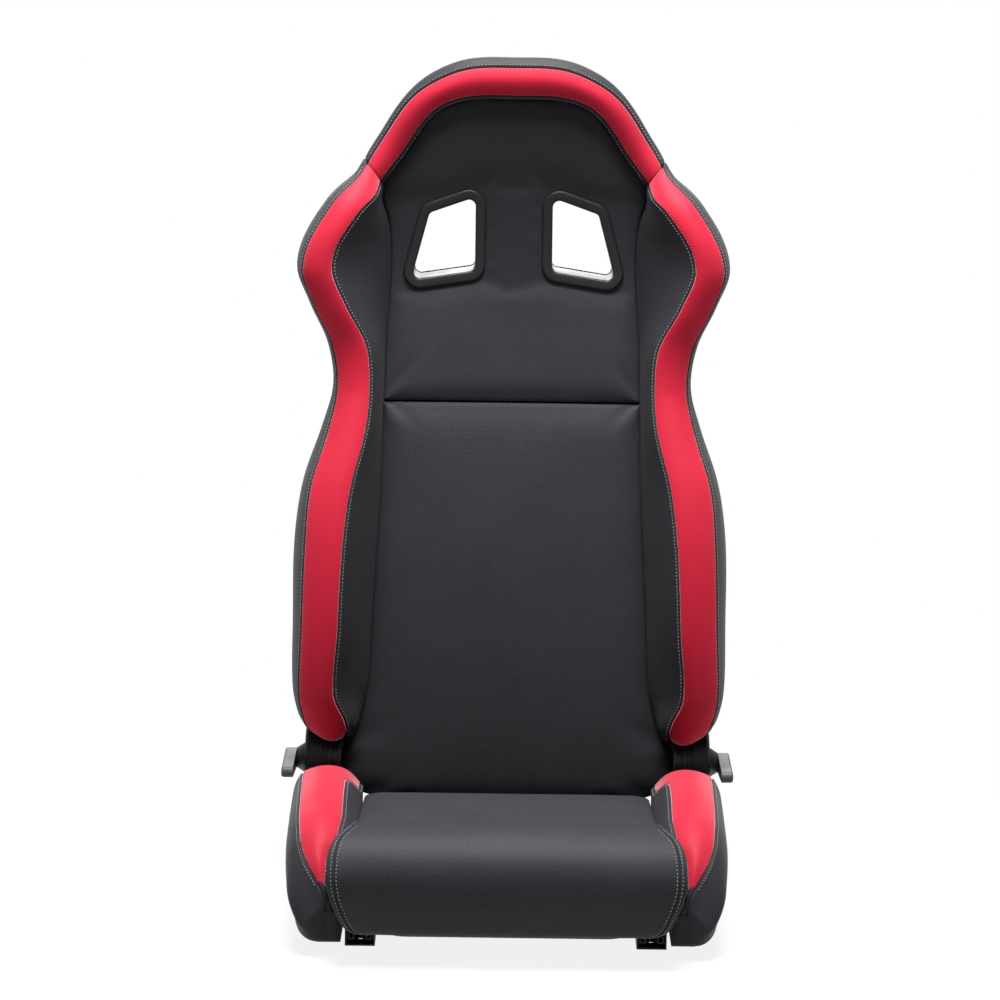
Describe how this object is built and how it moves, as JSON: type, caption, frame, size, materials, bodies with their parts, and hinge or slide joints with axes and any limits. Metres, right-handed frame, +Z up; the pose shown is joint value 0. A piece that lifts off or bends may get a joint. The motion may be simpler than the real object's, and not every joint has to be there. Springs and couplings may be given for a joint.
{
  "type": "reclining sports car seat",
  "caption": "Reclining bucket-style sports seat with side bolsters, belt slots, a lever on each side and sliding runners.",
  "frame": {"origin": "on the floor under the runners, at the centre of the rectangle of the four floor bolt holes", "axes": "+Z up, +Y to the rear of the seat, +X to the right as seen from in front; the seat faces -Y"},
  "size_m": [0.544, 0.6783, 0.9802],
  "materials": {
    "black_fabric": "fine black knit over foam",
    "red_fabric": "textured red fabric band over black knit, over foam",
    "black_plastic": "moulded, fine grain",
    "lever_plastic": "dark grey, semi-gloss",
    "cage_plastic": "natural nylon",
    "black_steel": "black powder coat",
    "zinc_steel": "zinc plated pressed steel",
    "bright_steel": "plain turned steel",
    "spring_steel": "oiled spring wire"
  },
  "bodies": {
    "floor_rails": {"lower_rail_left": "black_steel", "lower_rail_right": "black_steel"},
    "roller_trains": {"roller_cage_left": "cage_plastic", "roller_cage_right": "cage_plastic", "rollers_left": "bright_steel", "rollers_right": "bright_steel"},
    "seat_base": {"upper_rail_left": "black_steel", "upper_rail_right": "black_steel", "front_cross_member": "black_steel", "rear_cross_member": "black_steel", "rail_bolts": "bright_steel", "side_member_left": "black_steel", "side_member_right": "black_steel", "side_bolts": "bright_steel", "cushion_frame": "black_steel", "rear_cross_tube": "black_steel", "seat_springs": "spring_steel", "release_bracket_left": "zinc_steel", "release_bracket_right": "zinc_steel", "recliner_disc_lower_left": "black_steel", "recliner_disc_lower_right": "black_steel", "recliner_spring_left": "spring_steel", "recliner_spring_right": "spring_steel", "recliner_cover_left": "black_plastic", "recliner_cover_right": "black_plastic", "cover_screws_left": "bright_steel", "cover_screws_right": "bright_steel", "cushion_pad": "black_fabric", "front_roll": "black_fabric", "cushion_bolster_left": "red_fabric", "cushion_bolster_right": "red_fabric"},
    "release_handle": {"release_bar": "black_steel", "latch_comb_left": "zinc_steel", "latch_comb_right": "zinc_steel"},
    "backrest": {"recliner_disc_upper_left": "black_steel", "recliner_disc_upper_right": "black_steel", "recliner_plate_left": "black_steel", "recliner_plate_right": "black_steel", "back_hoop": "black_steel", "back_foot_tube": "black_steel", "back_upper_tube": "black_steel", "back_springs": "spring_steel", "backrest_pad": "black_fabric", "shoulder_pad": "black_fabric", "backrest_bolster_left": "red_fabric", "backrest_bolster_right": "red_fabric", "head_bolster": "red_fabric", "belt_bezel_left": "black_plastic", "belt_bezel_right": "black_plastic", "belt_trim_left": "black_plastic", "belt_trim_right": "black_plastic", "back_cover": "black_fabric"},
    "recline_levers": {"lever_shaft": "bright_steel", "recline_lever_left": "lever_plastic", "recline_lever_right": "lever_plastic"}
  },
  "joints": [
    {"name": "seat_slide", "type": "slide", "parent": "floor_rails", "child": "seat_base", "axis": [0, 1, 0], "range_m": [-0.1, 0.1]},
    {"name": "roller_travel", "type": "slide", "parent": "floor_rails", "child": "roller_trains", "axis": [0, 1, 0], "range_m": [-0.05, 0.05]},
    {"name": "release_lift", "type": "hinge", "parent": "seat_base", "child": "release_handle", "pos_m": [0, -0.02, 0.019], "axis": [-1, 0, 0], "range_deg": [0, 6], "stiffness_Nm_per_rad": 4, "springref_deg": -20.05},
    {"name": "backrest_recline", "type": "hinge", "parent": "seat_base", "child": "backrest", "pos_m": [0, 0.165, 0.13], "axis": [1, 0, 0], "range_deg": [-55, 25]},
    {"name": "lever_lift", "type": "hinge", "parent": "seat_base", "child": "recline_levers", "pos_m": [0, 0.165, 0.13], "axis": [-1, 0, 0], "range_deg": [0, 25], "stiffness_Nm_per_rad": 1, "springref_deg": -24.64}
  ],
  "couplings": [
    {"joint": "roller_travel", "follows": "seat_slide", "ratio": 0.5}
  ]
}
